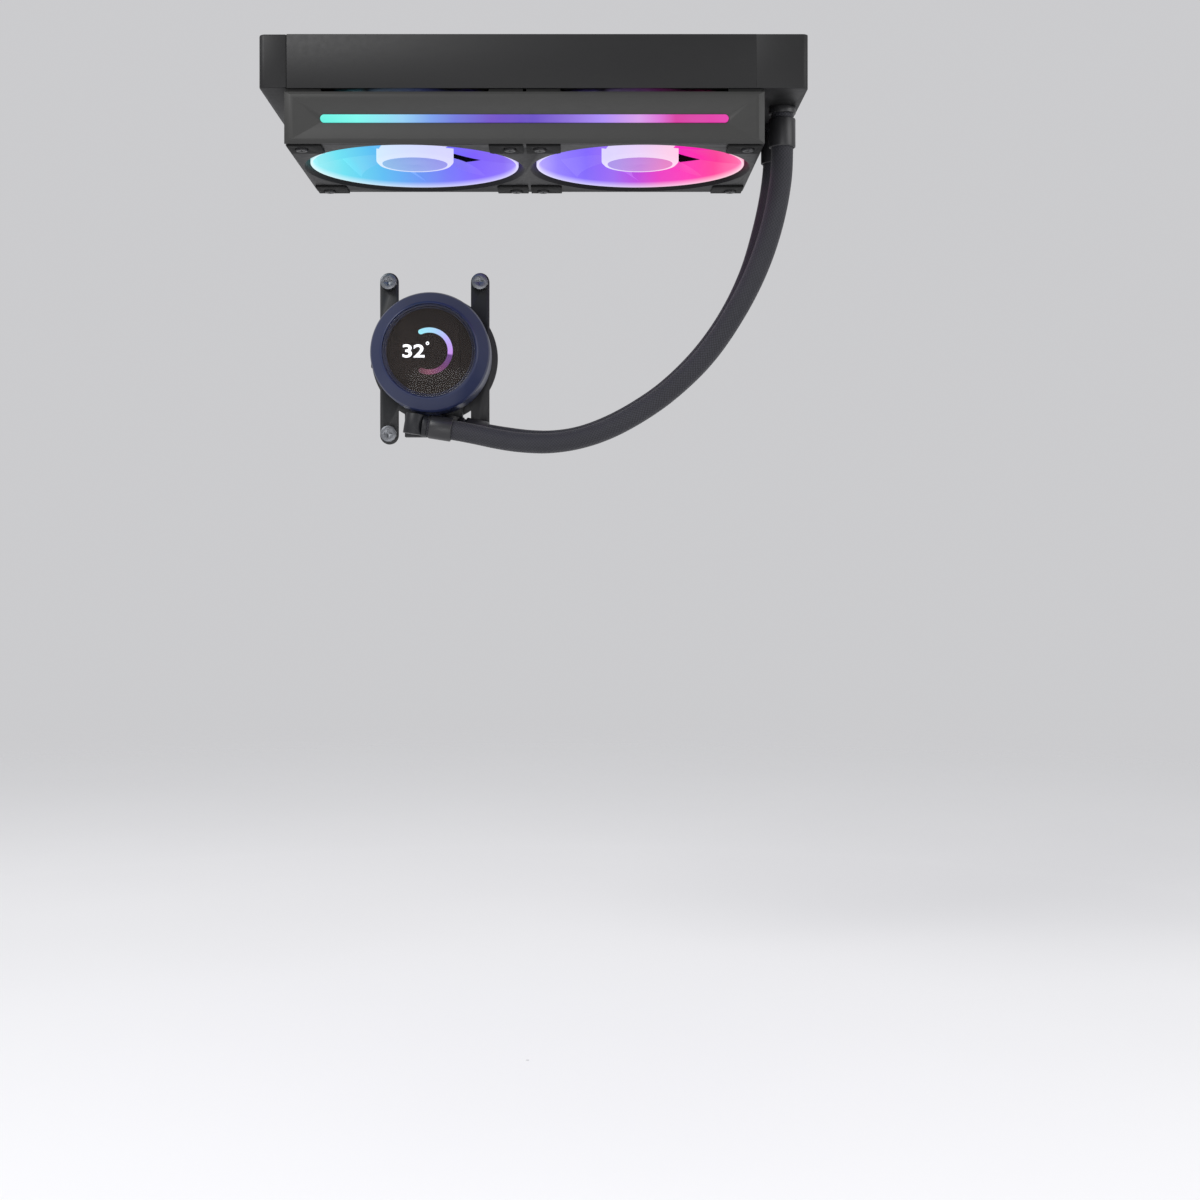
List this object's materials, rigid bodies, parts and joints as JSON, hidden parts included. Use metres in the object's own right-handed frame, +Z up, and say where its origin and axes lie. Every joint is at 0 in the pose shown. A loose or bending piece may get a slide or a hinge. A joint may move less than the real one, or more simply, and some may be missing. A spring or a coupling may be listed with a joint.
{
  "type": "liquid cooling radiator",
  "caption": "Sealed liquid cooler for a computer: flat radiator with a twin-fan frame and light bar, braided hoses and a pump head with a round display.",
  "frame": {"origin": "centre of the case screw pattern on the radiator's top face", "axes": "+X along the radiator towards the tank with the hoses, +Y from the lit side of the fan frame towards the board that carries the pump head, +Z up, out of the face that is screwed to the case"},
  "size_m": [0.275, 0.1945, 0.2027],
  "materials": {
    "coated_aluminium": "fine black powder coat",
    "core_aluminium": "thin black paint over thin sheet",
    "bare_aluminium": "brazed, dull",
    "fitting_metal": "black anodised",
    "frame_plastic": "moulded, fine texture",
    "bezel_plastic": "moulded, satin dark grey",
    "light_lens": "milky diffuser, lit from behind",
    "circuit_board": "solder mask",
    "light_chip": "small resin-filled chips",
    "rubber": "matte black",
    "blade_plastic": "milky translucent, lit by its hub",
    "steel": "plain steel",
    "ferrite": "sintered magnet",
    "copper_wire": "enamelled copper winding",
    "bronze": "sintered bearing bronze",
    "copper": "milled bare copper",
    "pump_plastic": "glass-filled moulding",
    "impeller_plastic": "natural moulding",
    "ceramic": "ground ceramic",
    "panel_face": "dark screen with lit figures",
    "ring_metal": "dark blue-grey satin coat",
    "display_glass": "dark tinted, polished",
    "bracket_metal": "black coated sheet",
    "nut_metal": "bright nickel plate",
    "hose_sleeve": "braided black and grey yarn over rubber"
  },
  "bodies": {
    "cooler": {"near_side_channel": "coated_aluminium", "far_side_channel": "coated_aluminium", "core_side_plates": "core_aluminium", "flat_tubes": "core_aluminium", "fin_strips": "core_aluminium", "hose_end_tank": "coated_aluminium", "return_end_tank": "coated_aluminium", "header_plates": "bare_aluminium", "tank_baffle": "bare_aluminium", "tank_fittings": "fitting_metal", "fill_plug": "fitting_metal", "fill_plug_seal": "rubber", "fan_frame": "frame_plastic", "frame_bezel": "bezel_plastic", "light_bar_lens": "light_lens", "light_bar_board": "circuit_board", "corner_pads": "rubber", "fan_screws": "fitting_metal", "fan_cable_socket": "frame_plastic", "bearing_sleeves": "bronze", "hub_leds": "light_chip", "left_stator_core": "steel", "left_stator_coils": "copper_wire", "left_motor_board": "circuit_board", "right_stator_core": "steel", "right_stator_coils": "copper_wire", "right_motor_board": "circuit_board", "cold_plate": "copper", "cold_plate_screws": "steel", "cold_plate_gasket": "rubber", "pump_block": "pump_plastic", "impeller_shaft": "ceramic", "pump_stator": "steel", "pump_coils": "copper_wire", "pump_board": "circuit_board", "display_carrier": "pump_plastic", "display_board": "circuit_board", "display_panel": "panel_face", "display_glass": "display_glass", "cover_ring": "ring_metal", "mounting_bracket": "bracket_metal", "bracket_standoffs": "steel", "thumb_nuts": "nut_metal", "pump_cable_socket": "frame_plastic", "left_elbow": "pump_plastic", "right_elbow": "pump_plastic", "elbow_seals": "rubber", "hose_collars": "fitting_metal", "supply_hose": "hose_sleeve", "return_hose": "hose_sleeve"},
    "left_fan": {"left_fan_rotor": "blade_plastic", "left_rotor_yoke": "steel", "left_rotor_magnet": "ferrite", "left_rotor_shaft": "steel"},
    "right_fan": {"right_fan_rotor": "blade_plastic", "right_rotor_yoke": "steel", "right_rotor_magnet": "ferrite", "right_rotor_shaft": "steel"},
    "pump_rotor": {"impeller": "impeller_plastic", "impeller_magnet": "ferrite"}
  },
  "joints": [
    {"name": "left_fan_spin", "type": "hinge", "parent": "cooler", "child": "left_fan", "pos_m": [-0.06, 0, -0.04], "axis": [0, 0, 1], "continuous": true},
    {"name": "right_fan_spin", "type": "hinge", "parent": "cooler", "child": "right_fan", "pos_m": [0.06, 0, -0.04], "axis": [0, 0, 1], "continuous": true},
    {"name": "pump_impeller_spin", "type": "hinge", "parent": "cooler", "child": "pump_rotor", "pos_m": [-0.058, 0.104, -0.144], "axis": [0, 1, 0], "continuous": true}
  ]
}
